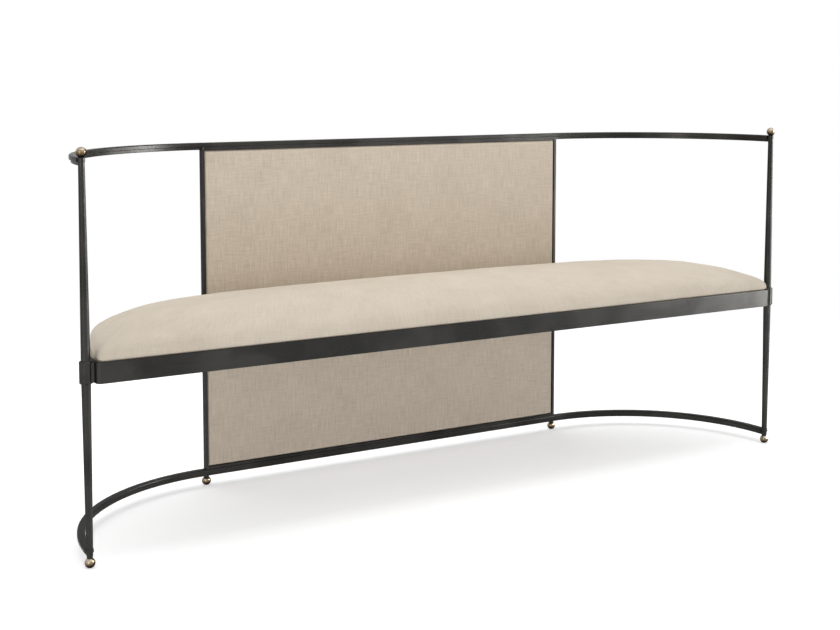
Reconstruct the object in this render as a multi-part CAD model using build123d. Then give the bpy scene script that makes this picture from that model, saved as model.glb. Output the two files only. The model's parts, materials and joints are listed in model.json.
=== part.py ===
from build123d import *
import os
from math import asin, atan2, cos, degrees, radians, sin, sqrt

# A settee-like bench: curved metal rails, tapered posts, upholstered seat and back panel.
# Millimetres, +Z up. The front is at -Y and the origin is on the floor under the middle.
# Inside the functions Y is counted from the line through both posts; save() moves it to the origin.

# Overall
overall_height = 838.0    # floor to the top of the finials
post_spacing = 1823.0     # between the posts' centre lines
arc_radius = 402.0        # the rails' centre line in plan, and how far the panel stands behind the posts
fit_gap = 0.15            # between a fastener and its hole, all round
layer_gap = 0.2           # between soft layers
cut_over = 1.0            # how far a cut runs past the face that it opens
near = 0.01               # how closely an edge is picked by its place

# Rails: a wide cap over a narrow web
cap_width = 17.0
cap_height = 9.6
cap_top_round = 3.0
cap_under_round = 1.2
web_width = 9.4
web_height = 7.0
web_edge = 1.2            # slanted lower edges
rail_lift = 2.0           # underside of the bottom rail over the tops of the ball feet
rail_end = 5.0            # flat on the collars behind the posts' centre line

# Balls
ball_radius = 10.75
ball_seat_radius = 5.0    # flat where a collar sits
foot_flat_radius = 3.0    # flat on the floor
ball_stud_depth = 8.0

# Posts and legs
post_seat_radius = 9.5
post_top_radius = 6.5
leg_foot_radius = 6.8
post_stud_radius = 3.0
post_stud_reach = 20.0    # into the post or the leg
joint_stud_radius = 4.0
joint_stud_reach = 24.0   # into each half

# Turned collars at the ends of the posts
top_collar_drop = 17.0
top_ring_height = 9.5
top_ring_radius = 7.3
foot_neck_radius = 6.0
foot_neck_flare = 7.0
foot_ring_height = 7.2
foot_ring_radius = 8.2
ring_round = 1.2
socket_radius = 6.3
socket_depth = 5.5        # into the web of the bottom rail
rear_stud_radius = 2.0
rear_stud_reach = 16.0    # into the stile

# Seat frame
seat_rail_height = 43.0
seat_rail_bottom = 373.0
seat_rail_reach = 25.0    # outer face in front of the posts' centre line
seat_rail_thickness = 6.0
seat_rail_corner = 5.0    # inside radius of the front corners
seat_rail_edge = 0.8
hoop_joint = 9.0          # where the front rail's returns meet the rear hoop
collar_wall = 3.7         # round the post and the leg
collar_overlap = 1.0      # the collar is taller than the rail by this at each end
collar_edge = 1.5
lug_length = 1.5
lug_width = 22.0
lug_height = 40.0
collar_screw_radius = 2.5
collar_screw_head = 4.6
collar_screw_head_depth = 2.4
collar_screw_rise = 11.0  # above and below the middle of the collar
collar_screw_bite = 4.5   # into the post or the leg
head_sink = 0.2
bearer_width = 30.0
bearer_thickness = 6.0
bearer_lift = 7.0         # over the lower edge of the seat frame
bearer_inset = 80.0       # outer bearers, from the ends of the straight back run
tab_width = 40.0
tab_length = 46.0
tab_offset = 250.0        # outboard of the straight back run
spacer_radius = 6.0
spacer_screw_radius = 1.8
spacer_screw_head = 3.6
spacer_screw_head_depth = 1.8
spacer_screw_bite = 12.0

# Seat
seat_gap = 0.8            # between the upholstery and the seat frame
cover_thickness = 1.2
dust_thickness = 0.8
dust_margin = 14.0
hem_width = 35.0
board_thickness = 15.0
crown_height = 70.0
crown_flat = 6.0          # half the width of the flat along the highest line
seam_draw = 4.0           # the cover is drawn in at the seam
seat_corner = 25.0
corner_growth = 0.25      # the corners get this much rounder for each millimetre inwards
corner_limit = 0.6        # but at most this share of half the depth that is left
crown_steps = (0.005, 0.015, 0.04, 0.09, 0.17, 0.29, 0.45, 0.65, 0.875)  # shares of the way inwards
crown_fullness = 2.2
crown_edge = 0.42
seat_screw_radius = 2.0
seat_screw_head = 4.0
seat_screw_head_height = 2.2
seat_screw_bite = 10.0
seat_screw_inset = 70.0   # from the seat frame's inner face

# Back panel
panel_depth = 16.0        # stiles, strip and channel, front to back
stile_width = 6.5
strip_height = 6.5
channel_floor = 1.2
panel_board_thickness = 8.0
panel_pad_thickness = 2.3
panel_cover_thickness = 0.8
panel_edge_round = 2.6
panel_fit = 0.3           # between the covers and the frame round them
fixing_inset = 53.0       # end fixings, from the panel's sides
fixing_count = 4
dowel_radius = 2.5
dowel_in_board = 10.0
dowel_in_web = 6.0
panel_screw_radius = 2.0
panel_screw_head = 3.6
panel_screw_head_depth = 1.8
panel_screw_bite = 18.0
pin_radius = 1.5

# Levels and places worked out from the above
post_x = post_spacing / 2
straight_half = post_x - arc_radius
back_reach = arc_radius + max(cap_width / 2, ball_radius)
post_y = (seat_rail_reach - back_reach) / 2
seat_rail_top = seat_rail_bottom + seat_rail_height
seat_middle = seat_rail_bottom + seat_rail_height / 2
ball_seat_rise = sqrt(ball_radius ** 2 - ball_seat_radius ** 2)
foot_centre = sqrt(ball_radius ** 2 - foot_flat_radius ** 2)
foot_seat = foot_centre + ball_seat_rise
finial_centre = overall_height - ball_radius
finial_seat = finial_centre - ball_seat_rise
post_top = finial_seat - top_collar_drop
low_web = foot_seat + rail_lift
low_cap = low_web + web_height
socket_top = low_web + socket_depth
low_top = low_cap + cap_height
high_cap = finial_seat - cap_height
high_web = high_cap - web_height
collar_half = seat_rail_height / 2 + collar_overlap
collar_radius = post_seat_radius + collar_wall
hoop_radius = post_x - collar_radius - lug_length - straight_half
bearer_bottom = seat_rail_bottom + bearer_lift
bearer_top = bearer_bottom + bearer_thickness
hem_bottom = bearer_top + dust_thickness
board_bottom = hem_bottom + cover_thickness
board_top = board_bottom + board_thickness
seat_half_depth = (hoop_radius + seat_rail_reach) / 2
crown_run = seat_half_depth - crown_flat
stile_x = straight_half - stile_width / 2
panel_half = straight_half - stile_width
panel_bottom = low_top + strip_height
panel_top = high_web - channel_floor
fixing_half = panel_half - fixing_inset
fixing_xs = [fixing_half * (2 * i / (fixing_count - 1) - 1) for i in range(fixing_count)]

on_base = (Align.CENTER, Align.CENTER, Align.MIN)
from_corner = (Align.MIN, Align.MIN, Align.MIN)
os.makedirs("parts", exist_ok=True)


def save(name, *solids):
    placed = [Pos(0, post_y, 0) * solid for shape in solids for solid in shape.solids()]
    export_step(placed[0] if len(placed) == 1 else Compound(placed), f"parts/{name}.step")


def rod(radius, z0, z1, x=0.0, y=0.0):
    return Pos(x, y, z0) * Cylinder(radius, z1 - z0, align=on_base)


def taper(radius0, radius1, z0, z1, x=0.0, y=0.0):
    return Pos(x, y, z0) * Cone(radius0, radius1, z1 - z0, align=on_base)


def block(x0, x1, y0, y1, z0, z1):
    return Pos(x0, y0, z0) * Box(x1 - x0, y1 - y0, z1 - z0, align=from_corner)


def mirrored(shape):
    return mirror(shape, about=Plane.YZ)


def slab(edges, z0, z1):
    return extrude(Pos(0, 0, z0) * make_face(edges), amount=z1 - z0, dir=(0, 0, 1))


def plan_arc(x, y, radius, start, end):
    # Arc about (x, y) in plan between two angles in degrees
    angles = [radians(a) for a in (start, (start + end) / 2, end)]
    return ThreePointArc(*[(x + radius * cos(a), y + radius * sin(a)) for a in angles])


def countersunk(shank, head, head_depth, length, gap=0.0):
    # A screw that points along +Z with the flat of its head at zero, or the hole for it
    body = taper(head + gap, shank + gap, 0, head_depth) + rod(shank + gap, head_depth, length + 2 * gap)
    return body + rod(head + gap, -head_sink - cut_over, 0) if gap else body


# Rails
def rail_bar(width, z0, z1):
    # A bar along the rails' plan line, cut off flat behind the posts
    outer = arc_radius + width / 2
    inner = arc_radius - width / 2
    outer_end = degrees(asin(rail_end / outer))
    inner_end = degrees(asin(rail_end / inner))
    outer_tip = straight_half + outer * cos(radians(outer_end))
    inner_tip = straight_half + inner * cos(radians(inner_end))
    return slab([
        plan_arc(straight_half, 0, outer, outer_end, 90),
        Line((straight_half, outer), (-straight_half, outer)),
        plan_arc(-straight_half, 0, outer, 90, 180 - outer_end),
        Line((-outer_tip, rail_end), (-inner_tip, rail_end)),
        plan_arc(-straight_half, 0, inner, 180 - inner_end, 90),
        Line((-straight_half, inner), (straight_half, inner)),
        plan_arc(straight_half, 0, inner, 90, inner_end),
        Line((inner_tip, rail_end), (outer_tip, rail_end)),
    ], z0, z1)


def long_edges(bar, z):
    level = bar.edges().filter_by_position(Axis.Z, z - near, z + near)
    return [edge for edge in level if edge.center().Y > rail_end + near]


def rail(web_z):
    cap_z = web_z + web_height
    top_z = cap_z + cap_height
    cap = rail_bar(cap_width, cap_z, top_z)
    cap = fillet(long_edges(cap, top_z), cap_top_round)
    cap = fillet(long_edges(cap, cap_z), cap_under_round)
    web = rail_bar(web_width, web_z, cap_z)
    web = chamfer(long_edges(web, web_z), web_edge)
    return cap + web


top_rail = rail(high_web)
bottom_rail = rail(low_web)
for x in fixing_xs:
    top_rail -= rod(dowel_radius + fit_gap, high_web - cut_over, high_web + dowel_in_web + fit_gap,
                    x, arc_radius)
    bottom_rail -= Pos(x, arc_radius, low_web) * countersunk(
        panel_screw_radius, panel_screw_head, panel_screw_head_depth, low_top - low_web + cut_over, fit_gap)
for x in (-stile_x, stile_x):
    pin_hole = Pos(x, arc_radius, high_web + web_height / 2) * Rot(90, 0, 0)
    top_rail -= pin_hole * Cylinder(pin_radius + fit_gap, 2 * panel_depth)
    bottom_rail -= rod(socket_radius + fit_gap, low_web - cut_over, socket_top, x, arc_radius)
    bottom_rail -= rod(rear_stud_radius + fit_gap, low_web, low_top + cut_over, x, arc_radius)
save("top_rail", top_rail)
save("bottom_rail", bottom_rail)


# Posts, legs and the studs that join them
def upper_post():
    body = rod(post_seat_radius, seat_middle, seat_middle + collar_half)
    body += taper(post_seat_radius, post_top_radius, seat_middle + collar_half, post_top)
    body -= rod(joint_stud_radius + fit_gap, seat_middle - cut_over,
                seat_middle + joint_stud_reach + cut_over)
    return body - rod(post_stud_radius + fit_gap, post_top - post_stud_reach - cut_over, post_top + cut_over)


def leg():
    body = taper(leg_foot_radius, post_seat_radius, low_top, seat_middle - collar_half)
    body += rod(post_seat_radius, seat_middle - collar_half, seat_middle)
    body -= rod(joint_stud_radius + fit_gap, seat_middle - joint_stud_reach - cut_over,
                seat_middle + cut_over)
    return body - rod(post_stud_radius + fit_gap, low_top - cut_over, low_top + post_stud_reach + cut_over)


def collar_screw_pair(gap):
    # One screw above and one below the middle of the collar, from inside the seat frame outwards
    start = straight_half + hoop_radius - seat_rail_thickness + head_sink
    length = post_x - post_seat_radius + collar_screw_bite - start
    screw = countersunk(collar_screw_radius, collar_screw_head, collar_screw_head_depth, length, gap)
    return [Pos(start, 0, seat_middle + dz) * Rot(0, 90, 0) * screw
            for dz in (-collar_screw_rise, collar_screw_rise)]


def seat_collar():
    body = rod(collar_radius, seat_middle - collar_half, seat_middle + collar_half)
    body = chamfer(body.edges().filter_by(GeomType.CIRCLE), collar_edge)
    body = Pos(post_x, 0, 0) * body
    body += block(straight_half + hoop_radius, post_x, -lug_width / 2, lug_width / 2,
                  seat_middle - lug_height / 2, seat_middle + lug_height / 2)
    body -= rod(post_seat_radius + fit_gap, seat_middle - collar_half - cut_over,
                seat_middle + collar_half + cut_over, post_x)
    for hole in collar_screw_pair(fit_gap):
        body -= hole
    return body


right_post = Pos(post_x, 0, 0) * upper_post()
right_leg = Pos(post_x, 0, 0) * leg()
for hole in collar_screw_pair(fit_gap):
    right_post -= hole
    right_leg -= hole
save("right_upper_post", right_post)
save("left_upper_post", mirrored(right_post))
save("right_leg", right_leg)
save("left_leg", mirrored(right_leg))
save("right_seat_collar", seat_collar())
save("left_seat_collar", mirrored(seat_collar()))
save("post_joint_studs", *[
    rod(joint_stud_radius, seat_middle - joint_stud_reach, seat_middle + joint_stud_reach, x)
    for x in (-post_x, post_x)])
right_collar_screws = collar_screw_pair(0)
save("collar_screws", *right_collar_screws, *[mirrored(screw) for screw in right_collar_screws])


# Turned collars at both ends of the posts, with a flat for the rail
def rail_flat(radius, z0, z1):
    return block(-2 * radius, 2 * radius, rail_end, 2 * radius, z0 - cut_over, z1 + cut_over)


def top_collar():
    ring_z = finial_seat - top_ring_height
    ring = rod(top_ring_radius, ring_z, finial_seat)
    ring = fillet(ring.edges().filter_by(GeomType.CIRCLE), ring_round)
    body = ring + rod(post_top_radius, post_top, ring_z + ring_round)
    body -= rod(post_stud_radius + fit_gap, post_top - cut_over, finial_seat + cut_over)
    return body - rail_flat(top_ring_radius, post_top, finial_seat)


def foot_collar():
    ring_z = low_top - foot_ring_height
    ring = rod(foot_ring_radius, ring_z, low_top)
    ring = fillet(ring.edges().filter_by(GeomType.CIRCLE), ring_round)
    body = ring + taper(foot_neck_radius, foot_neck_flare, foot_seat, ring_z + ring_round)
    body -= rod(post_stud_radius + fit_gap, foot_seat - cut_over, low_top + cut_over)
    return body - rail_flat(foot_ring_radius, foot_seat, low_top)


for side, x in (("left", -post_x), ("right", post_x)):
    save(f"{side}_top_collar", Pos(x, 0, 0) * top_collar())
    save(f"{side}_foot_collar", Pos(x, 0, 0) * foot_collar())


# Necks over the rear feet, let into the web of the bottom rail
def rear_socket(x):
    body = rod(socket_radius, foot_seat, socket_top, x, arc_radius)
    return body - rod(rear_stud_radius + fit_gap, foot_seat - cut_over, socket_top + cut_over, x, arc_radius)


# Brass balls and their studs
def finial():
    ball = Pos(0, 0, finial_centre) * Sphere(ball_radius)
    ball -= block(-ball_radius, ball_radius, -ball_radius, ball_radius,
                  finial_seat - ball_radius, finial_seat)
    return ball - rod(post_stud_radius + fit_gap, finial_seat - cut_over,
                      finial_seat + ball_stud_depth + cut_over)


def ball_foot(stud_radius):
    ball = Pos(0, 0, foot_centre) * Sphere(ball_radius)
    ball &= block(-ball_radius, ball_radius, -ball_radius, ball_radius, 0, foot_seat)
    return ball - rod(stud_radius + fit_gap, foot_seat - ball_stud_depth - cut_over, foot_seat + cut_over)


for side, sign in (("left", -1), ("right", 1)):
    save(f"{side}_finial", Pos(sign * post_x, 0, 0) * finial())
    save(f"{side}_front_foot", Pos(sign * post_x, 0, 0) * ball_foot(post_stud_radius))
    save(f"{side}_rear_foot", Pos(sign * stile_x, arc_radius, 0) * ball_foot(rear_stud_radius))
    save(f"{side}_rear_socket", rear_socket(sign * stile_x))
save("finial_studs", *[
    rod(post_stud_radius, post_top - post_stud_reach, finial_seat + ball_stud_depth, x)
    for x in (-post_x, post_x)])
save("front_foot_studs", *[
    rod(post_stud_radius, foot_seat - ball_stud_depth, low_top + post_stud_reach, x)
    for x in (-post_x, post_x)])
save("rear_foot_studs", *[
    rod(rear_stud_radius, foot_seat - ball_stud_depth, low_top + rear_stud_reach, x, arc_radius)
    for x in (-stile_x, stile_x)])


# Seat frame: a flat bar with small corners in front and quarter circles behind
def hoop_outline(inset):
    radius = hoop_radius - inset
    corner = seat_rail_corner + seat_rail_thickness - inset
    front = inset - seat_rail_reach
    side = straight_half + radius
    return [
        Line((corner - side, front), (side - corner, front)),
        plan_arc(side - corner, front + corner, corner, -90, 0),
        Line((side, front + corner), (side, 0)),
        plan_arc(straight_half, 0, radius, 0, 90),
        Line((straight_half, radius), (-straight_half, radius)),
        plan_arc(-straight_half, 0, radius, 90, 180),
        Line((-side, 0), (-side, front + corner)),
        plan_arc(corner - side, front + corner, corner, 180, 270),
    ]


def spacer_screw(gap):
    # From inside the rear hoop, through a spacer, into a stile
    start = hoop_radius - seat_rail_thickness + head_sink
    length = arc_radius - panel_depth / 2 + spacer_screw_bite - start
    screw = countersunk(spacer_screw_radius, spacer_screw_head, spacer_screw_head_depth, length, gap)
    return Pos(0, start, seat_middle) * Rot(-90, 0, 0) * screw


hoop = slab(hoop_outline(0), seat_rail_bottom, seat_rail_top)
outer_edges = (hoop.faces().sort_by(Axis.Z)[-1].edges() + hoop.faces().sort_by(Axis.Z)[0].edges())
hoop = fillet(outer_edges, seat_rail_edge)
hoop -= slab(hoop_outline(seat_rail_thickness), seat_rail_bottom - cut_over, seat_rail_top + cut_over)
for hole in collar_screw_pair(fit_gap):
    hoop -= hole
    hoop -= mirrored(hole)
for x in (-stile_x, stile_x):
    hoop -= Pos(x, 0, 0) * spacer_screw(fit_gap)
ahead = block(-2 * post_x, 2 * post_x, -2 * arc_radius, hoop_joint, 0, overall_height)
save("seat_front_rail", hoop & ahead)
save("seat_rear_hoop", hoop - ahead)


# Spacers between the rear hoop and the stiles
def spacer(x):
    back = arc_radius - panel_depth / 2
    body = Rot(-90, 0, 0) * Cylinder(spacer_radius, back - hoop_radius, align=on_base)
    body = Pos(x, hoop_radius, seat_middle) * body
    return body - Pos(x, 0, 0) * spacer_screw(fit_gap)


save("rear_spacers", spacer(-stile_x), spacer(stile_x))
save("spacer_screws", *[Pos(x, 0, 0) * spacer_screw(0) for x in (-stile_x, stile_x)])

# Bearers and tabs under the seat board
inner_front = seat_rail_thickness - seat_rail_reach
inner_back = hoop_radius - seat_rail_thickness
bearer_x = straight_half - bearer_inset
bearer_xs = {"left": -bearer_x, "centre": 0.0, "right": bearer_x}
tab_xs = (-straight_half - tab_offset, straight_half + tab_offset)
tab_screw_y = inner_front + tab_length / 2
bearer_screws = [(x, y) for x in bearer_xs.values()
                 for y in (inner_front + seat_screw_inset, inner_back - seat_screw_inset)]
screw_places = bearer_screws + [(x, tab_screw_y) for x in tab_xs]


def without_screws(shape, z0, z1):
    for x, y in screw_places:
        shape -= rod(seat_screw_radius + fit_gap, z0, z1, x, y)
    return shape


def seat_screw(x, y):
    head = rod(seat_screw_head, bearer_bottom - seat_screw_head_height, bearer_bottom, x, y)
    head = fillet(head.edges().sort_by(Axis.Z)[0], seat_screw_head_height / 2)
    return head + rod(seat_screw_radius, bearer_bottom, board_bottom + seat_screw_bite, x, y)


for name, x in bearer_xs.items():
    bar = block(x - bearer_width / 2, x + bearer_width / 2, inner_front, inner_back,
                bearer_bottom, bearer_top)
    save(f"{name}_bearer", without_screws(bar, bearer_bottom - cut_over, bearer_top + cut_over))
tabs = [block(x - tab_width / 2, x + tab_width / 2, inner_front, inner_front + tab_length,
              bearer_bottom, bearer_top) for x in tab_xs]
save("end_tabs", *[without_screws(tab, bearer_bottom - cut_over, bearer_top + cut_over) for tab in tabs])
save("seat_screws", *[seat_screw(x, y) for x, y in screw_places])


# Seat: board, crowned foam, cover turned under the board, and dust cover
def seat_outline(inset, corner):
    # Straight front and back, ends parallel to the rails, rounded front corners
    radius = hoop_radius - inset
    front = inset - seat_rail_reach
    centre_y = front + corner
    centre_dx = sqrt((radius - corner) ** 2 - centre_y ** 2)
    turn = degrees(atan2(centre_y, centre_dx))
    centre_x = straight_half + centre_dx
    return [
        Line((-centre_x, front), (centre_x, front)),
        plan_arc(centre_x, centre_y, corner, -90, turn),
        plan_arc(straight_half, 0, radius, turn, 90),
        Line((straight_half, radius), (-straight_half, radius)),
        plan_arc(-straight_half, 0, radius, 90, 180 - turn),
        plan_arc(-centre_x, centre_y, corner, 180 - turn, 270),
    ]


def crown_rise(step):
    # Height over the seat frame at a share of the way from the edge to the highest line
    return crown_height * (1 - (1 - step) ** crown_fullness) ** crown_edge


def crown(shrink):
    # The crowned upper body over the seat frame, smaller all round by shrink
    top = crown_rise(crown_steps[-1])
    levels = [(0.0, seam_draw)] + [(crown_rise(step), step * crown_run) for step in crown_steps]
    sections = []
    for rise, inset in levels:
        inset += shrink
        corner = min(seat_corner + corner_growth * inset, corner_limit * (seat_half_depth - inset))
        z = seat_rail_top + shrink + rise * (top - 2 * shrink) / top
        sections.append(Pos(0, 0, z) * make_face(seat_outline(inset, corner)))
    return loft(sections, ruled=True)


def tucked(inset, z0, z1):
    # The part of the upholstery that sits down inside the seat frame
    return slab(seat_outline(seat_rail_thickness + seat_gap + inset, seat_corner), z0, z1)


in_cover = cover_thickness + layer_gap
seat_board = tucked(in_cover, board_bottom, board_top)
save("seat_board", without_screws(seat_board, board_bottom - cut_over,
                                  board_bottom + seat_screw_bite + cut_over))
foam = tucked(in_cover, board_top, seat_rail_top + in_cover) + crown(in_cover)
save("seat_foam", foam)
cover = tucked(0, hem_bottom, seat_rail_top) + crown(0)
cover -= tucked(cover_thickness, board_bottom, seat_rail_top + cover_thickness) + crown(cover_thickness)
cover -= tucked(cover_thickness + hem_width, hem_bottom - cut_over, board_bottom + cut_over)
save("seat_cover", without_screws(cover, hem_bottom - cut_over, board_bottom + cut_over))
dust_cover = tucked(dust_margin, bearer_top, hem_bottom)
save("dust_cover", without_screws(dust_cover, bearer_top - cut_over, hem_bottom + cut_over))


# Back panel: stiles, strip and channel round an upholstered board
panel_front = arc_radius - panel_depth / 2
panel_back = arc_radius + panel_depth / 2


def stile(x):
    body = block(x - stile_width / 2, x + stile_width / 2, panel_front, panel_back, low_top, high_cap)
    body -= block(x - stile_width, x + stile_width, arc_radius - web_width / 2 - fit_gap,
                  arc_radius + web_width / 2 + fit_gap, high_web - fit_gap, high_cap + cut_over)
    body -= Pos(x, arc_radius, high_web + web_height / 2) * Rot(90, 0, 0) * Cylinder(
        pin_radius + fit_gap, 2 * panel_depth)
    body -= rod(rear_stud_radius + fit_gap, low_top - cut_over, low_top + rear_stud_reach + cut_over,
                x, arc_radius)
    return body - Pos(x, 0, 0) * spacer_screw(fit_gap)


save("left_stile", stile(-stile_x))
save("right_stile", stile(stile_x))
save("stile_pins", *[
    Pos(x, arc_radius, high_web + web_height / 2) * Rot(90, 0, 0) * Cylinder(pin_radius, panel_depth)
    for x in (-stile_x, stile_x)])

channel = block(-panel_half, panel_half, panel_front, panel_back, panel_top, high_cap)
channel -= block(-post_x, post_x, arc_radius - web_width / 2 - fit_gap,
                 arc_radius + web_width / 2 + fit_gap, high_web, high_cap + cut_over)
strip = block(-panel_half, panel_half, panel_front, panel_back, low_top, panel_bottom)


def without_fixings(shape):
    # Room for the dowels at the top edge and the screws at the bottom edge
    for x in fixing_xs:
        shape -= rod(dowel_radius + fit_gap, panel_top - dowel_in_board - fit_gap, high_cap, x, arc_radius)
        shape -= rod(panel_screw_radius + fit_gap, low_web, panel_bottom + panel_screw_bite + fit_gap,
                     x, arc_radius)
    return shape


def panel_layer(inset, y0, y1):
    return block(inset - panel_half, panel_half - inset, y0, y1, panel_bottom + inset, panel_top - inset)


def rounded_layer(inset, y0, y1, face_y, radius):
    # A layer with its edges rounded round the face at face_y
    layer = panel_layer(inset, y0, y1)
    return fillet(layer.edges().filter_by_position(Axis.Y, face_y - near, face_y + near), radius)


board_half = panel_board_thickness / 2
pad_half = board_half + panel_pad_thickness
cover_half = pad_half + panel_cover_thickness
seam_half = layer_gap / 2
lined = panel_fit + panel_cover_thickness + layer_gap
inner_round = min(panel_edge_round - panel_cover_thickness, panel_pad_thickness - 2 * layer_gap)


def panel_pad(side):
    y0, y1 = sorted((arc_radius + side * board_half, arc_radius + side * (pad_half - layer_gap)))
    return rounded_layer(lined, y0, y1, arc_radius + side * (pad_half - layer_gap), inner_round)


def panel_cover(side):
    face = arc_radius + side * cover_half
    y0, y1 = sorted((arc_radius + side * seam_half, face))
    outer = rounded_layer(panel_fit, y0, y1, face, panel_edge_round)
    inner_face = arc_radius + side * pad_half
    y0, y1 = sorted((arc_radius - side * board_half, inner_face))
    inner = rounded_layer(panel_fit + panel_cover_thickness, y0, y1, inner_face, inner_round)
    return without_fixings(outer - inner)


save("panel_top_channel", without_fixings(channel))
save("panel_bottom_strip", without_fixings(strip))
panel_board = panel_layer(lined, arc_radius - board_half, arc_radius + board_half)
save("panel_board", without_fixings(panel_board))
save("panel_front_pad", panel_pad(-1))
save("panel_rear_pad", panel_pad(1))
save("panel_front_cover", panel_cover(-1))
save("panel_rear_cover", panel_cover(1))
save("panel_dowels", *[
    rod(dowel_radius, panel_top - dowel_in_board, high_web + dowel_in_web, x, arc_radius)
    for x in fixing_xs])
save("panel_screws", *[
    Pos(x, arc_radius, low_web) * countersunk(panel_screw_radius, panel_screw_head, panel_screw_head_depth,
                                              panel_bottom + panel_screw_bite - low_web)
    for x in fixing_xs])
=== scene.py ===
import json
import math
import bmesh
import bpy
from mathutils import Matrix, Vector, noise


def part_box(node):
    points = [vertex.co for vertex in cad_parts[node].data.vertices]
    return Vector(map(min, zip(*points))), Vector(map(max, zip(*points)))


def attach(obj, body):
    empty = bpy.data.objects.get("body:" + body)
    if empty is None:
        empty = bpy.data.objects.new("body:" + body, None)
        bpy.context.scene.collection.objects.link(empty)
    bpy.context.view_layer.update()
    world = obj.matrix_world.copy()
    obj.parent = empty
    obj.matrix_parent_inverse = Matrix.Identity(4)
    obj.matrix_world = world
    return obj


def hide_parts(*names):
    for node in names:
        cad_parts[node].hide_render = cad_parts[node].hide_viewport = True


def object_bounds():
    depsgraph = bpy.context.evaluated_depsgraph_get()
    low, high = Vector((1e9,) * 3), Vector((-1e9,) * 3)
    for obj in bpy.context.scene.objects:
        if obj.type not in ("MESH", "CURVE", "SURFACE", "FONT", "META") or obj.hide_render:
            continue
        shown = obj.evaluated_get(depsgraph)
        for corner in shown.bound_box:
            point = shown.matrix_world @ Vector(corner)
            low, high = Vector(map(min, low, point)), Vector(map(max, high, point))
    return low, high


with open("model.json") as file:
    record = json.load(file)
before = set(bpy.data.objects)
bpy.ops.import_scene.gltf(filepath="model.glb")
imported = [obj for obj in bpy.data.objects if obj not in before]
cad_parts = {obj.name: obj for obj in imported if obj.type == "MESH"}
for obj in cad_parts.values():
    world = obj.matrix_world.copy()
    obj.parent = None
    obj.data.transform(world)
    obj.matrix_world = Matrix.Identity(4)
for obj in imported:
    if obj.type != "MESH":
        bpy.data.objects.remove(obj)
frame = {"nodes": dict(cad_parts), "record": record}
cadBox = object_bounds()
nodes = frame["nodes"]
print("frame loaded,", len(nodes), "nodes")

# The camera stands left of the bench and looks a little down
view = {
    "place": (-1.6860, -2.8067, 0.9812),
    "yaw": 30.445,      # degrees, turned towards +X
    "pitch": 5.0,       # degrees, downwards
    "lens": 58.616,
    "shiftY": -0.1462,
}
bpy.ops.object.select_all(action="DESELECT")
bpy.ops.object.camera_add(
    location=view["place"],
    rotation=(math.radians(90 - view["pitch"]), 0, math.radians(-view["yaw"])))
camera = bpy.context.object
camera.data.lens = view["lens"]
camera.data.shift_y = view["shiftY"]
bpy.context.scene.camera = camera
bpy.context.scene.view_settings.view_transform = "Standard"
print("camera placed")


class Wire:
    # an output socket; sums on it add Math nodes
    def __init__(self, finish, socket):
        self.finish = finish
        self.socket = socket

    def maths(self, operation, first, second):
        return self.finish.node("Math", {"operation": operation}, {0: first, 1: second})

    def __add__(self, other):
        return self.maths("ADD", self, other)

    def __radd__(self, other):
        return self.maths("ADD", other, self)

    def __sub__(self, other):
        return self.maths("SUBTRACT", self, other)

    def __rsub__(self, other):
        return self.maths("SUBTRACT", other, self)

    def __mul__(self, other):
        return self.maths("MULTIPLY", self, other)

    def __rmul__(self, other):
        return self.maths("MULTIPLY", other, self)


class Finish:
    # a node tree that is built up node by node
    def __init__(self, tree):
        self.tree = tree
        tree.nodes.clear()

    def node(self, kind, settings, inputs, out=0):
        made = self.tree.nodes.new("ShaderNode" + kind)
        for key, value in settings.items():
            setattr(made, key, value)
        for key, value in inputs.items():
            if isinstance(value, Wire):
                self.tree.links.new(value.socket, made.inputs[key])
            else:
                made.inputs[key].default_value = value
        return Wire(self, made.outputs[out]) if made.outputs else None

    def parts(self, vector):
        # the three components of a vector
        split = self.node("SeparateXYZ", {}, {0: vector}).socket.node
        return [Wire(self, output) for output in split.outputs]

    def blend(self, factor, first, second):
        return self.node("Mix", {"data_type": "RGBA"}, {0: factor, 6: first, 7: second}, 2)

    def speckle(self, place, stretch, scale, detail=3.0, distortion=0.0):
        # noise on coordinates that are stretched along an axis
        turned = self.node("Mapping", {}, {"Vector": place, "Scale": stretch})
        return self.node("TexNoise", {}, {"Vector": turned, "Scale": scale, "Detail": detail,
                                          "Distortion": distortion})

    def fit(self, value, low, high):
        # 0 at low, 1 at high, smooth between
        return self.node("MapRange", {"interpolation_type": "SMOOTHSTEP"},
                         {"Value": value, "From Min": low, "From Max": high})

    def bump(self, height, strength, distance):
        return self.node("Bump", {}, {"Height": height, "Strength": strength, "Distance": distance})


def newMaterial(name):
    material = bpy.data.materials.new(name)
    material.use_nodes = True
    return material, Finish(material.node_tree)


def surface(finish, inputs):
    shader = finish.node("BsdfPrincipled", {}, inputs)
    finish.node("OutputMaterial", {}, {"Surface": shader})


def rgb(red, green, blue):
    return (red, green, blue, 1.0)


# Dark metal with a worn, waxed patina; the stretch follows the way each bar was brushed
darkMetal = {
    "deep": rgb(0.0255, 0.0250, 0.0236),
    "rubbed": rgb(0.0460, 0.0446, 0.0416),
    "rim": rgb(0.32, 0.32, 0.32),       # how much of the glancing shine is left under the wax
    "bare": 0.72,                       # the share that is metal, the rest is wax and dirt
    "patchScale": 7.0,
    "grainScale": 300.0,
    "roughSpread": 0.12,
}


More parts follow.
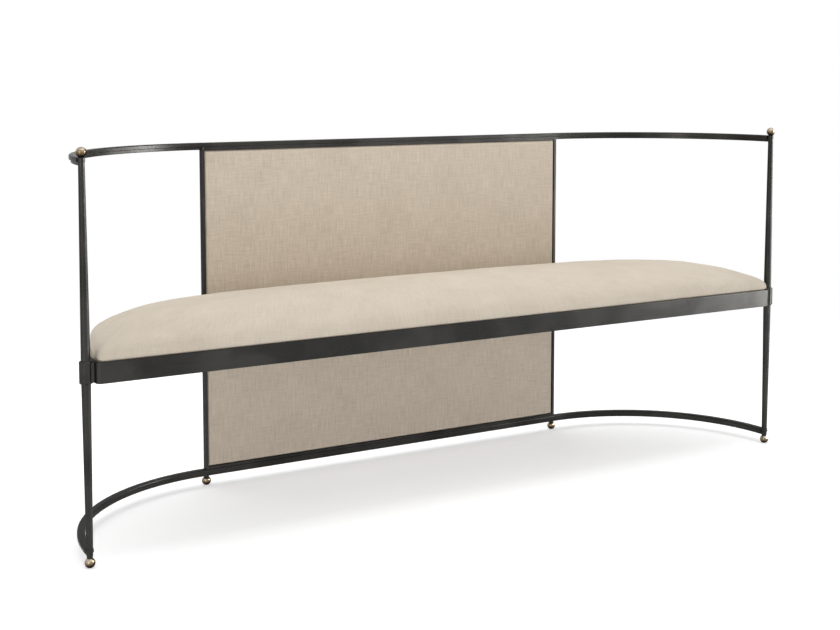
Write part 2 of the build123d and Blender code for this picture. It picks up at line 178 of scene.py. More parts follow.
def makeDarkMetal(name, brush, smoothest):
    material, f = newMaterial(name)
    place = f.node("TexCoord", {}, {}, "Object")
    patches = f.speckle(place, (1, 1, 1), darkMetal["patchScale"], 5.0, 0.6)
    grain = f.speckle(place, (1, 1, 1), darkMetal["grainScale"], 2.0)
    strokes = f.speckle(place, brush, 1.0, 4.0)
    wear = f.fit(patches * 0.82 + strokes * 0.18, 0.36, 0.66)
    colour = f.blend(wear, darkMetal["deep"], darkMetal["rubbed"])
    rough = smoothest + darkMetal["roughSpread"] * (patches * 0.6 + grain * 0.4)
    surface(f, {"Base Color": colour, "Roughness": rough, "Metallic": darkMetal["bare"],
                "Specular Tint": darkMetal["rim"]})
    return material


# Aged brass with random patches and painted light in its colour: a painted highlight where it faces up, and
# painted shade underneath and on the right side
agedBrass = {
    # colours by facing: the lit top is a painted highlight, then the side tone, then painted shade underneath
    "litTop": rgb(0.44, 0.372, 0.280),
    "sideTone": rgb(0.165, 0.117, 0.064),
    "dark": rgb(0.008, 0.006, 0.004),
    "rim": rgb(0.6, 0.6, 0.6),
    "patchScale": 120.0,
    "side": (0.15, 0.75),       # painted shade: the right side darkens between these shares of facing it
    "light": (0.70, -0.10),     # painted highlight: from the lit top colour to the side tone, by how far it faces up
    "under": (0.05, -0.60),     # painted shade: and from there to dark underneath
}


def makeAgedBrass():
    material, f = newMaterial("aged_brass")
    place = f.node("TexCoord", {}, {}, "Object")
    patches = f.speckle(place, (1, 1, 1), agedBrass["patchScale"], 4.0, 0.8)
    sideways, _, upwards = f.parts(f.node("NewGeometry", {}, {}, "Normal"))
    # painted shade on the right-facing side, which also dims the lamps' glints there
    turned = upwards - f.fit(sideways, *agedBrass["side"]) * 0.9 + (patches - 0.5) * 0.7
    # painted light: the colour goes by facing, with a painted highlight on top and painted shade underneath,
    # broken up by random patches
    under = f.fit(turned, *agedBrass["under"])
    metal = f.blend(f.fit(turned, *agedBrass["light"]), agedBrass["litTop"], agedBrass["sideTone"])
    colour = f.blend(under, metal, agedBrass["dark"])
    rough = 0.16 + 0.16 * patches + 0.12 * under
    normal = f.bump(patches, 0.08, 0.0003)
    surface(f, {"Base Color": colour, "Roughness": rough, "Metallic": 1.0, "Normal": normal,
                "Specular Tint": agedBrass["rim"]})
    return material


# Linen: plain weave of uneven yarns, with thicker yarns that show as short streaks
seatLinen = {
    "light": rgb(0.690, 0.614, 0.510),
    "shade": rgb(0.570, 0.497, 0.400),
    "warpSlubs": 0.28,
    "weftSlubs": 0.20,
    "mottle": 0.58,
}
panelLinen = {
    "light": rgb(0.755, 0.657, 0.541),
    "shade": rgb(0.563, 0.477, 0.378),
    "warpSlubs": 0.34,
    "weftSlubs": 0.26,
    "mottle": 0.26,
}
yarn = {
    "pitch": 0.0016,
    "slubAcross": 330.0,    # slubs to a metre across the yarn
    "slubAlong": 24.0,      # and along it
    "waver": 0.0005,
    "waverScale": 60.0,
    "mottleScale": 9.0,     # broad patches
    "fleckScale": 240.0,    # single fibres
    "relief": 0.0006,
}


def makeLinen(name, look, flat):
    # flat gives the cloth's own two coordinates, in metres
    material, f = newMaterial(name)
    cloth = flat(f)
    waver = f.speckle(cloth, (1, 1, 1), yarn["waverScale"], 2.0)
    straightAcross, straightAlong, _ = f.parts(cloth)
    across = straightAcross + (waver - 0.5) * yarn["waver"]
    along = straightAlong + (waver - 0.5) * yarn["waver"]
    turn = 2 * math.pi / yarn["pitch"]
    overUnder = (f.node("Math", {"operation": "SINE"}, {0: across * turn})
                 * f.node("Math", {"operation": "SINE"}, {0: along * turn}))
    warp = f.speckle(cloth, (yarn["slubAcross"], yarn["slubAlong"], 1), 1.0, 2.0)
    weft = f.speckle(cloth, (yarn["slubAlong"], yarn["slubAcross"], 1), 1.0, 2.0)
    mottle = f.speckle(cloth, (1, 1, 1), yarn["mottleScale"], 4.0, 0.4)
    fleck = f.speckle(cloth, (1, 1, 1), yarn["fleckScale"], 2.0)
    tone = (0.5 + (warp - 0.5) * (look["warpSlubs"] * 4) + (weft - 0.5) * (look["weftSlubs"] * 4)
            + (mottle - 0.5) * (look["mottle"] * 2) + (fleck - 0.5) * 0.5 + overUnder * 0.05)
    colour = f.blend(f.fit(tone, -0.25, 1.25), look["shade"], look["light"])
    height = overUnder * 0.30 + warp * 0.9 + weft * 0.7 + fleck * 0.4
    normal = f.bump(height, 0.35, yarn["relief"])
    surface(f, {"Base Color": colour, "Roughness": 0.92 - 0.1 * fleck, "Normal": normal,
                "Specular IOR Level": 0.15, "Sheen Weight": 0.12, "Sheen Roughness": 0.6})
    return material


def weaveMap(f):
    return f.node("UVMap", {"uv_map": "weave"}, {})


# Black spun cloth under the seat
def makeSpunCloth():
    material, f = newMaterial("spun_cloth")
    place = f.node("TexCoord", {}, {}, "Object")
    fibre = f.speckle(place, (1, 1, 1), 420.0, 3.0, 1.5)
    dimple = f.node("TexVoronoi", {"feature": "F1"}, {"Vector": place, "Scale": 380.0})
    colour = f.blend(fibre, rgb(0.010, 0.010, 0.011), rgb(0.032, 0.032, 0.034))
    normal = f.bump(dimple * 0.6 + fibre * 0.4, 0.5, 0.0005)
    surface(f, {"Base Color": colour, "Roughness": 0.8 + 0.15 * fibre, "Normal": normal})
    return material


# Birch plywood, with its layers in the edges
def makePlywood():
    material, f = newMaterial("birch_plywood")
    place = f.node("TexCoord", {}, {}, "Object")
    grain = f.speckle(place, (2, 90, 90), 1.0, 6.0, 0.7)
    pores = f.speckle(place, (30, 700, 700), 1.0, 2.0)
    layers = f.node("TexWave", {"bands_direction": "Z"}, {"Vector": place, "Scale": 110.0, "Distortion": 1.0})
    tone = f.fit(grain * 0.7 + pores * 0.2 + layers * 0.1, 0.25, 0.75)
    colour = f.blend(tone, rgb(0.36, 0.23, 0.12), rgb(0.60, 0.44, 0.27))
    normal = f.bump(grain, 0.2, 0.0004)
    surface(f, {"Base Color": colour, "Roughness": 0.62 + 0.2 * pores, "Normal": normal})
    return material


# Blackened steel of the studs, pins and screws
def makeBlackSteel():
    material, f = newMaterial("black_steel")
    place = f.node("TexCoord", {}, {}, "Object")
    patches = f.speckle(place, (1, 1, 1), 180.0, 4.0, 0.5)
    colour = f.blend(f.fit(patches, 0.35, 0.7), rgb(0.022, 0.022, 0.023), rgb(0.095, 0.093, 0.090))
    normal = f.bump(patches, 0.15, 0.0003)
    surface(f, {"Base Color": colour, "Roughness": 0.30 + 0.25 * patches, "Metallic": 0.9, "Normal": normal})
    return material


# Open foam, only seen where a cover is off
def makeFoam():
    material, f = newMaterial("open_foam")
    place = f.node("TexCoord", {}, {}, "Object")
    cells = f.node("TexVoronoi", {"feature": "F1"}, {"Vector": place, "Scale": 600.0})
    colour = f.blend(cells, rgb(0.62, 0.55, 0.36), rgb(0.80, 0.74, 0.55))
    normal = f.bump(cells, 0.5, 0.0006)
    surface(f, {"Base Color": colour, "Roughness": 0.85 + 0.1 * cells, "Normal": normal})
    return material


railMetal = makeDarkMetal("dark_metal_rails", (5, 5, 420), 0.23)
postMetal = makeDarkMetal("dark_metal_posts", (260, 260, 4), 0.38)
collarMetal = makeDarkMetal("dark_metal_collars", (60, 60, 60), 0.16)
brassFinish = makeAgedBrass()
plywoodFinish = makePlywood()
steelFinish = makeBlackSteel()
foamFinish = makeFoam()
spunFinish = makeSpunCloth()
seatFinish = makeLinen("seat_linen", seatLinen, weaveMap)
panelFinish = makeLinen("panel_linen", panelLinen, weaveMap)

slotFinish = {
    "frame_metal": railMetal,
    "antique_brass": brassFinish,
    "plywood": plywoodFinish,
    "fastener_steel": steelFinish,
    "foam": foamFinish,
    "dust_cloth": spunFinish,
    "seat_linen": seatFinish,
    "panel_linen": panelFinish,
}
uprights = ("post", "leg", "stile")
turned = ("collar", "socket")


def dressNodes():
    # every CAD node gets the finish of its slot; upright bars are brushed lengthwise, collars are polished
    for part in frame["record"]["subparts"]:
        node = nodes[part["node"]]
        finish = slotFinish[part["material_slot"]]
        if finish is railMetal and part["node"].endswith(uprights):
            finish = postMetal
        elif finish is railMetal and part["node"].endswith(turned):
            finish = collarMetal
        node.data.materials.clear()
        node.data.materials.append(finish)


dressNodes()
print("finishes on")

# Places taken from the frame
railLow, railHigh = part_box("seat_front_rail")
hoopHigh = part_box("seat_rear_hoop")[1]
boardLow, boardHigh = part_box("seat_board")
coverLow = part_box("seat_cover")[0]
legLow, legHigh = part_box("left_leg")
postY = (legLow.y + legHigh.y) / 2
hoopRadius = hoopHigh.y - postY
straightHalf = railHigh.x - hoopRadius
seatTop = railHigh.z


def alone(piece):
    bpy.ops.object.select_all(action="DESELECT")
    piece.select_set(True)
    bpy.context.view_layer.objects.active = piece


def addPiece(name, mesh, finish):
    piece = bpy.data.objects.new(name, mesh)
    bpy.context.collection.objects.link(piece)
    mesh.materials.append(finish)
    return piece


def spread(line, count, crowd):
    # count points along a line of points, closer together at both ends
    line = line[:1] + [b for a, b in zip(line, line[1:]) if a != b]
    reach = [0.0]
    for a, b in zip(line, line[1:]):
        reach.append(reach[-1] + math.dist(a, b))
    found = []
    step = 0
    for i in range(count):
        t = i / (count - 1)
        want = reach[-1] * (t - crowd * math.sin(2 * math.pi * t) / (2 * math.pi))
        while step < len(line) - 2 and reach[step + 1] < want:
            step += 1
        share = (want - reach[step]) / (reach[step + 1] - reach[step])
        found.append(tuple(a + (b - a) * share for a, b in zip(line[step], line[step + 1])))
    return found


def arc(x, y, radius, start, end, count=24):
    angles = [start + (end - start) * i / count for i in range(count + 1)]
    return [(x + radius * math.cos(a), y + radius * math.sin(a)) for a in angles]


def seatRing(inset, corner, count):
    # one closed line parallel to the seat frame: along the front to the right tip, then back round
    radius = hoopRadius - inset
    front = railLow.y + inset
    cornerY = front + corner
    drop = cornerY - postY
    reach = math.sqrt((radius - corner) ** 2 - drop ** 2)
    turn = math.atan2(drop, reach)
    cornerX = straightHalf + reach
    frontRight = [(0, front)] + arc(cornerX, cornerY, corner, -math.pi / 2, 0)
    backRight = (arc(cornerX, cornerY, corner, 0, turn, 6)[:-1]
                 + arc(straightHalf, postY, radius, turn, math.pi / 2, 60) + [(0, postY + radius)])
    frontLine = [(-x, y) for x, y in reversed(frontRight)] + frontRight[1:]
    backLine = backRight + [(-x, y) for x, y in reversed(backRight)][1:]
    return spread(frontLine, count, 0.6)[:-1] + spread(backLine, count, 0.6)[:-1]


# Seat cushion: crowned foam under tight linen, drawn in at the frame and turned under the board
cushion = {
    "front": 0.0016,        # its fullest line lies this far behind the front of the seat rail
    "back": 0.0033,
    "endX": 0.5023,         # middle of each rounded end
    "endY": 0.0128,
    "endReach": 0.3808,
    "ear": 0.0085,          # the front corners stand out, the ends pull in between them
    "earRun": 0.10,
    "earFade": 0.05,
    "corner": 0.010,
    "cornerGrowth": 0.35,
    "cornerLimit": 0.6,
    "lipRise": 0.008,       # height of the fullest line over the seat rail
    "boxRise": 0.0300,      # rounded edge
    "endRise": 0.0060,      # and this much more at the ends
    "endFlat": 0.27,        # the share of the dome that the ends lack
    "cornerDrop": 0.0036,
    "dropReach": 0.050,
    "boxRun": 0.026,
    "domeRise": 0.0325,     # from the edge to the middle
    "domeRun": 0.2000,
    "longRise": 0.0130,     # from the ends to the middle
    "longRun": 0.880,
    "longPower": 2.26,
    "longFade": 0.06,       # the long rise is gone this near to the edge
    "endFrom": 0.50,        # where the ends begin, from the middle
    "endRun": 0.30,
    "squareFrom": 0.03,     # the ends are square as far back as this, and then less
    "squareRun": 0.09,
    "edgePower": (2.3, 1.5),    # of the rounded edge along the front, and more of it at the ends
    "edgeRound": (0.36, 0.18),
    "tuck": ((0.0036, 0.0004), (0.0018, 0.0016), (0.0006, 0.0040)),  # insets and heights under that line
    "wallInset": 0.0068,
    "boardGap": 0.0002,
    "hem": 0.035,
    "points": 141,          # along the front, and again along the back
    "steps": (0.0004, 0.0012, 0.0026, 0.005, 0.0085, 0.013, 0.019, 0.027, 0.037, 0.050, 0.066, 0.084, 0.104,
              0.125, 0.146, 0.166, 0.184, 0.196),
    "pressure": 3.0,
    "swell": 0.0032,        # the most that a point moves
    "frames": 20,
    "unevenness": 0.0007,   # the foam under the cloth is not quite even
    "unevenScale": 11,
    "unevenFrom": 0.03,     # in full this high over the seat rail
    "pull": 0.0007,         # the cloth is drawn down at tacks, so it ripples over the frame
    "pullScale": 21.0,
    "pullRise": 0.012,      # most at this height over the seat rail
    "pullSpread": 0.011,
}


def easeOff(share):
    share = max(0.0, min(1.0, share))
    return 1 - share * share * (3 - 2 * share)


def crownRing(inset, count):
    # a line round the crown, this far inside its fullest line, in the order that seatRing has
    front = railLow.y + cushion["front"] + inset
    back = hoopHigh.y - cushion["back"] - inset
    grown = cushion["corner"] + cushion["cornerGrowth"] * inset
    corner = min(grown, cushion["cornerLimit"] * (back - front) / 2)
    endY = max(postY + cushion["endY"], front + corner)
    reachX = cushion["endReach"] - inset
    ear = cushion["ear"] * easeOff(inset / cushion["earFade"])
    tip = cushion["endX"] + reachX
    frontRight = [(0, front)] + arc(tip + ear - corner, front + corner, corner, -math.pi / 2, 0)
    side = [(tip, front + corner + (endY - front - corner) * i / 12) for i in range(12)]
    for i in range(73):
        angle = math.pi / 2 * i / 72
        side.append((cushion["endX"] + reachX * math.cos(angle), endY + (back - endY) * math.sin(angle)))
    earEnd = front + corner
    backRight = [(x + ear * easeOff((y - earEnd) / cushion["earRun"]), y) for x, y in side] + [(0, back)]
    frontLine = [(-x, y) for x, y in reversed(frontRight)] + frontRight[1:]
    backLine = backRight + [(-x, y) for x, y in reversed(backRight)][1:]
    return spread(frontLine, count, 0.6)[:-1] + spread(backLine, count, 0.6)[:-1]


def crownHeight(inset, x, y):
    # the ends stand up squarer than the front, and the front corners are drawn down
    atEnd = 1 - easeOff((abs(x) - cushion["endFrom"]) / cushion["endRun"])
    square = atEnd * (1 - easeOff((y - railLow.y - cushion["squareFrom"]) / cushion["squareRun"]))
    edge = 1 - min(inset / cushion["boxRun"], 1.0)
    dome = 1 - min(inset / cushion["domeRun"], 1.0)
    length = 1 - (abs(x) / cushion["longRun"]) ** cushion["longPower"]
    box = cushion["boxRise"] + cushion["endRise"] * square - cushion["lipRise"]
    cornerX = cushion["endX"] + cushion["endReach"]
    fromCorner = math.hypot(abs(x) - cornerX, y - railLow.y) / cushion["dropReach"]
    drop = cushion["cornerDrop"] * math.exp(-fromCorner ** 2)
    power = cushion["edgePower"][0] + cushion["edgePower"][1] * square
    roundness = cushion["edgeRound"][0] - cushion["edgeRound"][1] * square
    rise = cushion["lipRise"] + box * (1 - edge ** power) ** roundness
    rise += cushion["domeRise"] * (1 - cushion["endFlat"] * atEnd) * (1 - dome ** 2)
    rise += cushion["longRise"] * length * min(inset / cushion["longFade"], 1.0)
    return rise - drop


def cushionRings():
    # rings of places from the flat underside on the board, round the hem, up to the crown
    gap = cushion["boardGap"]
    wall = cushion["wallInset"]
    inner = wall + 0.0012
    hemBottom = coverLow.z + gap / 2
    depth = (hoopHigh.y - railLow.y) / 2
    under = boardLow.z - gap / 2
    lip = inner + cushion["hem"]
    count = cushion["points"]
    rings = []
    for inset, z in (
            (depth * 0.9, boardHigh.z + gap), (depth * 0.5, boardHigh.z + gap), (inner, boardHigh.z + gap),
            (inner, under), (lip, under), (lip, hemBottom), (wall + 0.0025, hemBottom),
            (wall + 0.0005, hemBottom + 0.0008), (wall, hemBottom + 0.003), (wall, seatTop - 0.005),
            (wall + 0.0002, seatTop - 0.001)):
        grown = cushion["corner"] + cushion["cornerGrowth"] * inset
        corner = min(grown, cushion["cornerLimit"] * (depth - inset))
        rings.append((False, [(x, y, z) for x, y in seatRing(inset, corner, count)]))
    for inset, rise in cushion["tuck"]:
        rings.append((False, [(x, y, seatTop + rise) for x, y in crownRing(inset, count)]))
    for inset in (0.0,) + cushion["steps"]:
        rings.append((True, [(x, y, seatTop + crownHeight(inset, x, y)) for x, y in crownRing(inset, count)]))
    return rings


def buildCushion():
    rings = cushionRings()
    count = cushion["points"]
    around = 2 * (count - 1)
    mesh = bpy.data.meshes.new("seat_cushion")
    shape = bmesh.new()
    weave = shape.loops.layers.uv.new("weave")
    flatPlace = {}
    madeRings = []
    free = []
    for loose, places in rings:
        ring = [shape.verts.new(place) for place in places]
        madeRings.append(ring)
        if loose:
            free += ring
    # the cloth is laid flat outwards from the crown: each ring is moved out by the length over the edge
    for vert in madeRings[-1]:
        flatPlace[vert] = vert.co.xy.copy()
    for upper, lower in zip(madeRings[::-1], madeRings[-2::-1]):
        for i, vert in enumerate(lower):
            ahead = lower[(i + 1) % around].co.xy
            tangent = (ahead - lower[i - 1].co.xy).normalized()
            outward = Vector((tangent.y, -tangent.x))
            flatPlace[vert] = flatPlace[upper[i]] + outward * (vert.co - upper[i].co).length
    for low, high in zip(madeRings, madeRings[1:]):
        for i in range(around):
            j = (i + 1) % around
            shape.faces.new((low[i], low[j], high[j], high[i]))
    # the last rings, front and back, are bridged across the middle
    for ring, upwards in ((madeRings[-1], True), (madeRings[0], False)):
        half = count - 1
        for i in range(half):
            a, b = ring[i], ring[i + 1]
            c, d = ring[(around - i - 1) % around], ring[(around - i) % around]
            corners = []
            for vert in (a, b, c, d) if upwards else (d, c, b, a):
                if vert not in corners:
                    corners.append(vert)
            if len(corners) > 2:
                shape.faces.new(corners)
    for face in shape.faces:
        for loop in face.loops:
            loop[weave].uv = flatPlace[loop.vert]
    shape.verts.index_update()
    freeIndex = [vert.index for vert in free]
    shape.to_mesh(mesh)
    shape.free()
    return mesh, freeIndex


def swell(piece, freeIndex, look):
    # pressure puffs the free cloth up; the rest is held
    held = piece.vertex_groups.new(name="held")
    loose = set(freeIndex)
    held.add([v.index for v in piece.data.vertices if v.index not in loose], 1.0, "REPLACE")
    cloth = piece.modifiers.new("swell", "CLOTH")
    cloth.settings.quality = 6
    cloth.settings.mass = 0.3
    cloth.settings.tension_stiffness = 25
    cloth.settings.compression_stiffness = 25
    cloth.settings.shear_stiffness = 8
    cloth.settings.bending_stiffness = 3
    cloth.settings.use_pressure = True
    cloth.settings.uniform_pressure_force = look["pressure"]
    cloth.settings.vertex_group_mass = "held"
    cloth.settings.effector_weights.gravity = 0
    cloth.collision_settings.use_collision = False
    cloth.point_cache.frame_end = look["frames"]


def settle(swelled):
    # keeps the simulated shapes, eased back so that no point moves further than the swell
    graph = bpy.context.evaluated_depsgraph_get()
    moved = [[v.co.copy() for v in piece.evaluated_get(graph).data.vertices] for piece, _, _ in swelled]
    for (piece, _, look), places in zip(swelled, moved):
        piece.modifiers.remove(piece.modifiers["swell"])
        piece.vertex_groups.clear()
        shifts = [place - vert.co for vert, place in zip(piece.data.vertices, places)]
        far = max(shift.length for shift in shifts)
        for vert, shift in zip(piece.data.vertices, shifts):
            vert.co += shift * min(1.0, look["swell"] / far)
        kept = round(look["swell"] * 1000, 1)
        print(piece.name, "swelled by up to", round(far * 1000, 1), "mm, kept", kept)


def ruffle(piece, look):
    # the last small unevenness of the tight cloth over the seat frame
    shifts = []
    for vert in piece.data.vertices:
        place = vert.co
        rise = place.z - seatTop
        broad = noise.noise(place * look["unevenScale"]) * look["unevenness"]
        broad *= 1 - easeOff(rise / look["unevenFrom"])
        along = Vector((place.x, place.y * 0.6, place.z * 0.2)) * look["pullScale"]
        nearTacks = math.exp(-((rise - look["pullRise"]) / look["pullSpread"]) ** 2)
        pull = noise.noise(along) * look["pull"] * nearTacks
        shifts.append(vert.normal * (broad + pull))
    for vert, shift in zip(piece.data.vertices, shifts):
        vert.co += shift


# Panel pads: thin foam and linen over the board, rolled back at the edges
panelPad = {
    "roll": 0.0065,
    "puff": 0.0012,
    "insets": (0.0, 0.0003, 0.0009, 0.0019, 0.0033, 0.0050, 0.0068, 0.010, 0.016, 0.028),
    "across": 46,
    "up": 34,
    "pressure": 1.5,
    "swell": 0.0022,
    "frames": 20,
}


def gridStops(low, high, middle):
    edge = [low + inset for inset in panelPad["insets"]]
    start, end = edge[-1], high - panelPad["insets"][-1]
    inside = [start + (end - start) * i / middle for i in range(1, middle)]
    return edge + inside + [high - inset for inset in reversed(panelPad["insets"])]


def rolled(inset):
    share = min(inset / panelPad["roll"], 1.0)
    return math.sqrt(1 - (1 - share) ** 2)


def buildPanelPad(side):
    # side is -1 in front of the board and 1 behind it
    name = "front" if side < 0 else "rear"
    low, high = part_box(f"panel_{name}_cover")
    boardLow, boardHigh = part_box("panel_board")
    face = low.y if side < 0 else high.y
    seam = high.y if side < 0 else low.y
    rest = boardLow.y - 0.0001 if side < 0 else boardHigh.y + 0.0001
    xs = gridStops(low.x, high.x, panelPad["across"])
    zs = gridStops(low.z, high.z, panelPad["up"])
    mesh = bpy.data.meshes.new(f"panel_{name}_upholstery")
    shape = bmesh.new()
    weave = shape.loops.layers.uv.new("weave")
    grid = []
    free = []
    for z in zs:
        row = []
        for x in xs:
            dx = min(x - low.x, high.x - x)
            dz = min(z - low.z, high.z - z)
            lift = rolled(dx) * rolled(dz)
            puff = panelPad["puff"] * math.sin(math.pi * (x - low.x) / (high.x - low.x)) ** 0.4
            puff *= math.sin(math.pi * (z - low.z) / (high.z - low.z)) ** 0.4
            vert = shape.verts.new((x, seam + (face - seam) * lift + side * puff, z))
            row.append(vert)
            if min(dx, dz) > panelPad["insets"][5]:
                free.append(vert)
        grid.append(row)
    for below, above in zip(grid, grid[1:]):
        for i in range(len(xs) - 1):
            corners = (below[i], below[i + 1], above[i + 1], above[i])
            shape.faces.new(corners if side < 0 else corners[::-1])
    # the edge turns in round the board and closes flat on its face
    rim = grid[0] + [row[-1] for row in grid[1:]] + grid[-1][-2::-1] + [row[0] for row in grid[-2:0:-1]]
    wall = boardLow.x - 0.0001 - low.x
    loops = [rim]
    for depth in (seam, rest):
        ring = []
        for vert in rim:
            x = max(low.x + wall, min(high.x - wall, vert.co.x))
            z = max(low.z + wall, min(high.z - wall, vert.co.z))
            ring.append(shape.verts.new((x, depth, z)))
        loops.append(ring)
    for first, second in zip(loops, loops[1:]):
        for i in range(len(rim)):
            j = (i + 1) % len(rim)
            corners = (first[j], first[i], second[i], second[j])
            shape.faces.new(corners if side < 0 else corners[::-1])
    back = loops[-1][::-1] if side < 0 else loops[-1]
    shape.faces.new(back)
    bmesh.ops.remove_doubles(shape, verts=loops[1] + loops[2], dist=1e-6)
    for quad in shape.faces:
        for loop in quad.loops:
            place = loop.vert.co
            loop[weave].uv = (place.x, place.z)
    shape.verts.index_update()
    freeIndex = [vert.index for vert in free]
    shape.to_mesh(mesh)
    shape.free()
    return mesh, freeIndex


# Dust cover: black spun cloth stretched under the board, sagging a little between the bearers
dustCloth = {
    "inset": 0.0208,
    "corner": 0.025,
    "sag": 0.0022,
    "thickness": 0.0006,
    "columns": 120,
    "rows": 24,
}


def buildDustCover():
    low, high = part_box("dust_cover")
    line = seatRing(dustCloth["inset"], dustCloth["corner"], 400)
    bearers = [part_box(f"{side}_bearer") for side in ("left", "centre", "right")]
    stops = sorted([(b[0].x + b[1].x) / 2 for b in bearers] + [low.x, high.x])
    rows = dustCloth["rows"]
    shape = bmesh.new()
    columns = []
    for i in range(dustCloth["columns"] + 1):
        t = i / dustCloth["columns"]
        x = low.x + (high.x - low.x) * (t - 0.7 * math.sin(2 * math.pi * t) / (2 * math.pi))
        x = max(low.x + 0.0004, min(high.x - 0.0004, x))
        near = [p[1] for p in sorted(line, key=lambda p: abs(p[0] - x))[:8]]
        front, back = min(near), max(near)
        gap = next(k for k in range(len(stops) - 1) if stops[k] <= x <= stops[k + 1])
        along = (x - stops[gap]) / (stops[gap + 1] - stops[gap])
        column = []
        for j in range(rows + 1):
            y = front + (back - front) * j / rows
            dip = math.sin(math.pi * along) ** 2 * math.sin(math.pi * j / rows)
            ripple = 1 + 0.3 * noise.noise(Vector((x * 9, y * 9, 0)))
            column.append(shape.verts.new((x, y, low.z - dustCloth["sag"] * dip * ripple + 0.0001)))
        columns.append(column)
    for a, b in zip(columns, columns[1:]):
        for j in range(rows):
            shape.faces.new((a[j + 1], b[j + 1], b[j], a[j]))
    mesh = bpy.data.meshes.new("seat_dust_cloth")
    shape.to_mesh(mesh)
    shape.free()
    return mesh


def finishPiece(piece, smoothLevels):
    alone(piece)
    if smoothLevels:
        smooth = piece.modifiers.new("smooth", "SUBSURF")
        smooth.levels = smoothLevels
        smooth.render_levels = smoothLevels
        bpy.ops.object.modifier_apply(modifier="smooth")
    bpy.ops.object.shade_smooth()


cushionMesh, cushionFree = buildCushion()
seatCushion = addPiece("seat_cushion", cushionMesh, seatFinish)
frontMesh, frontFree = buildPanelPad(-1)
panelFront = addPiece("panel_front_upholstery", frontMesh, panelFinish)
rearMesh, rearFree = buildPanelPad(1)
panelRear = addPiece("panel_rear_upholstery", rearMesh, panelFinish)
print("soft pieces built")

swelled = [(seatCushion, cushionFree, cushion), (panelFront, frontFree, panelPad),
           (panelRear, rearFree, panelPad)]
for piece, loose, look in swelled:
    swell(piece, loose, look)
for frameNumber in range(1, cushion["frames"] + 1):
    bpy.context.scene.frame_set(frameNumber)
settle(swelled)
bpy.context.scene.frame_set(1)
print("cloth settled")

finishPiece(seatCushion, 1)
ruffle(seatCushion, cushion)
finishPiece(panelFront, 0)
finishPiece(panelRear, 0)
for piece, replaced in (
        (seatCushion, ("seat_cover", "seat_foam")),
        (panelFront, ("panel_front_cover", "panel_front_pad")),
        (panelRear, ("panel_rear_cover", "panel_rear_pad"))):
    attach(piece, "root")
    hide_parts(*replaced)

dustSheet = addPiece("seat_dust_cloth", buildDustCover(), spunFinish)
alone(dustSheet)
thick = dustSheet.modifiers.new("thick", "SOLIDIFY")
thick.thickness = dustCloth["thickness"]
thick.offset = 0.0
bpy.ops.object.modifier_apply(modifier="thick")
bpy.ops.object.shade_smooth()
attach(dustSheet, "root")
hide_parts("dust_cover")
print("soft pieces on the frame")

# Studio: pale floor, white surroundings, soft light; three lamps and a pool of light show in the metal alone
studio = {
    "floorSize": 40.0,
    "floorColour": rgb(0.93, 0.93, 0.93),
    "floorGlow": 0.51,
    "floorBounce": 0.45,    # what the floor gives back besides, as a lit cove does
    "fade": (1.5, 3.2),     # the floor runs out into white between these distances
    "pool": {"place": (3.00, -2.0, 0), "reach": (0.80, 0.15), "glow": 58.0},
    "worldLight": 0.29,
    "lamps": {
        "overhead": {"place": (0.6, -0.9, 3.0), "size": (4.0, 2.6), "aim": (0.2, 0, 0.4), "watts": 27,
                     "lights": True, "shines": True},
        "zenith": {"place": (-0.1, -0.1, 3.0), "size": (3.0, 1.6), "aim": (-0.1, -0.1, 0.4), "watts": 33,
                   "lights": True, "shines": False},
        "behind": {"place": (-0.2, 1.6, 2.6), "size": (3.0, 1.2), "aim": (-0.1, 0, 0.4), "watts": 21,
                   "lights": True, "shines": False},
        "front": {"place": (-0.4, -4.4, 0.9), "size": (4.2, 1.7), "aim": (0, 0, 0.4), "watts": 23,
                  "lights": True, "shines": False},
        "side": {"place": (-3.6, -0.7, 1.0), "size": (2.0, 1.6), "aim": (-0.8, 0, 0.5), "watts": 13,
                 "lights": True, "shines": False},
        "right": {"place": (3.4, -1.9, 1.40), "size": (1.6, 1.8), "aim": (0, 0, 1.40), "watts": 227,
                  "lights": False, "shines": True},
        "rear": {"place": (4.2, 0.3, 1.15), "size": (2.6, 2.3), "aim": (0, 0.3, 1.15), "watts": 150,
                 "lights": False, "shines": True},
        "left": {"place": (-3.4, -2.4, 1.15), "size": (1.2, 2.3), "aim": (0, 0, 1.15), "watts": 26,
                 "lights": False, "shines": True},
    },
}


def rayKinds(f, *kinds):
    # 1 on rays of these kinds
    path = f.node("LightPath", {}, {}).socket.node
    total = 0.0
    for kind in kinds:
        total = Wire(f, path.outputs[f"Is {kind} Ray"]) + total
    return f.node("Clamp", {}, {0: total})


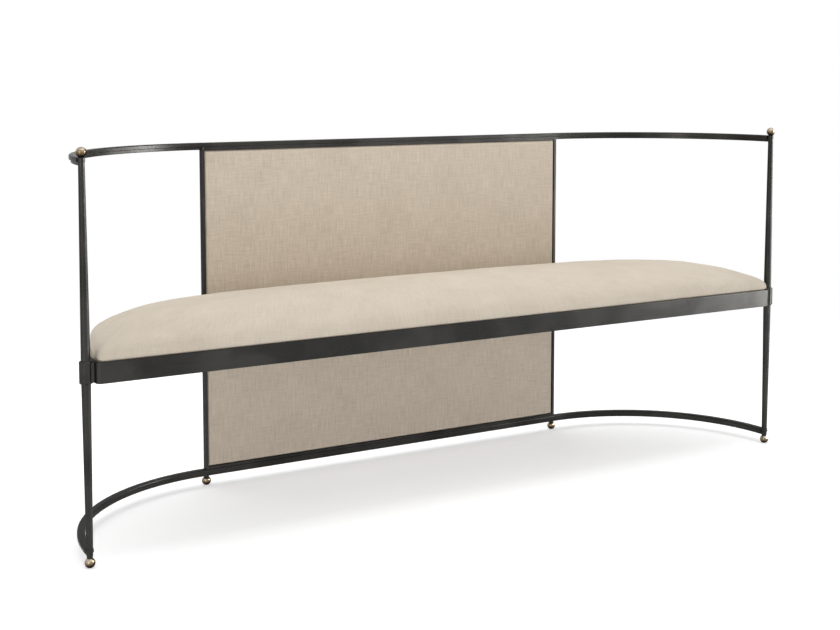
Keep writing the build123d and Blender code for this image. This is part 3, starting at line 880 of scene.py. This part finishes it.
def buildStudio():
    bpy.ops.object.select_all(action="DESELECT")
    bpy.ops.mesh.primitive_plane_add(size=studio["floorSize"], location=(0, 0, cadBox[0].z))
    floor = bpy.context.object
    floor.name = "studio_floor"
    material, f = newMaterial("pale_floor")
    place = f.node("TexCoord", {}, {}, "Object")
    pool = studio["pool"]
    away = f.node("VectorMath", {"operation": "LENGTH"}, {0: place}, "Value")
    poolAway = f.node("VectorMath", {"operation": "DISTANCE"}, {0: place, 1: pool["place"]}, "Value")
    seen = rayKinds(f, "Camera", "Glossy", "Transmission")
    bounce = rayKinds(f, "Diffuse") * studio["floorBounce"]
    extra = rayKinds(f, "Glossy") * f.fit(poolAway, *pool["reach"]) * pool["glow"]
    diffuse = f.node("BsdfDiffuse", {}, {"Color": studio["floorColour"]})
    glow = f.node("Emission", {}, {"Color": rgb(1, 1, 1), "Strength": bounce + seen * studio["floorGlow"]})
    near = f.node("AddShader", {}, {0: diffuse, 1: glow})
    white = f.node("Emission", {}, {"Color": rgb(1, 1, 1), "Strength": 1.0})
    shown = f.node("MixShader", {}, {0: f.fit(away, *studio["fade"]) * seen, 1: near, 2: white})
    lit = f.node("Emission", {}, {"Color": rgb(1, 1, 1), "Strength": extra})
    f.node("OutputMaterial", {}, {"Surface": f.node("AddShader", {}, {0: shown, 1: lit})})
    floor.data.materials.append(material)

    world = bpy.data.worlds.new("studio")
    world.use_nodes = True
    bpy.context.scene.world = world
    w = Finish(world.node_tree)
    soft = w.node("Background", {}, {"Color": rgb(1, 1, 1), "Strength": studio["worldLight"]})
    bright = w.node("Background", {}, {"Color": rgb(1, 1, 1), "Strength": 1.0})
    both = w.node("MixShader", {}, {0: rayKinds(w, "Camera", "Glossy", "Transmission"), 1: soft, 2: bright})
    w.node("OutputWorld", {}, {"Surface": both})

    for name, lamp in studio["lamps"].items():
        bpy.ops.object.light_add(type="AREA", location=lamp["place"])
        light = bpy.context.object
        light.name = "lamp_" + name
        light.data.shape = "RECTANGLE"
        light.data.size, light.data.size_y = lamp["size"]
        light.data.energy = lamp["watts"]
        light.visible_camera = False
        light.visible_diffuse = lamp["lights"]
        light.visible_glossy = lamp["shines"]
        towards = Vector(lamp["aim"]) - Vector(lamp["place"])
        light.rotation_euler = towards.to_track_quat("-Z", "Y").to_euler()


buildStudio()
print("studio lit")

print("cad box", [tuple(round(v, 4) for v in c) for c in cadBox])
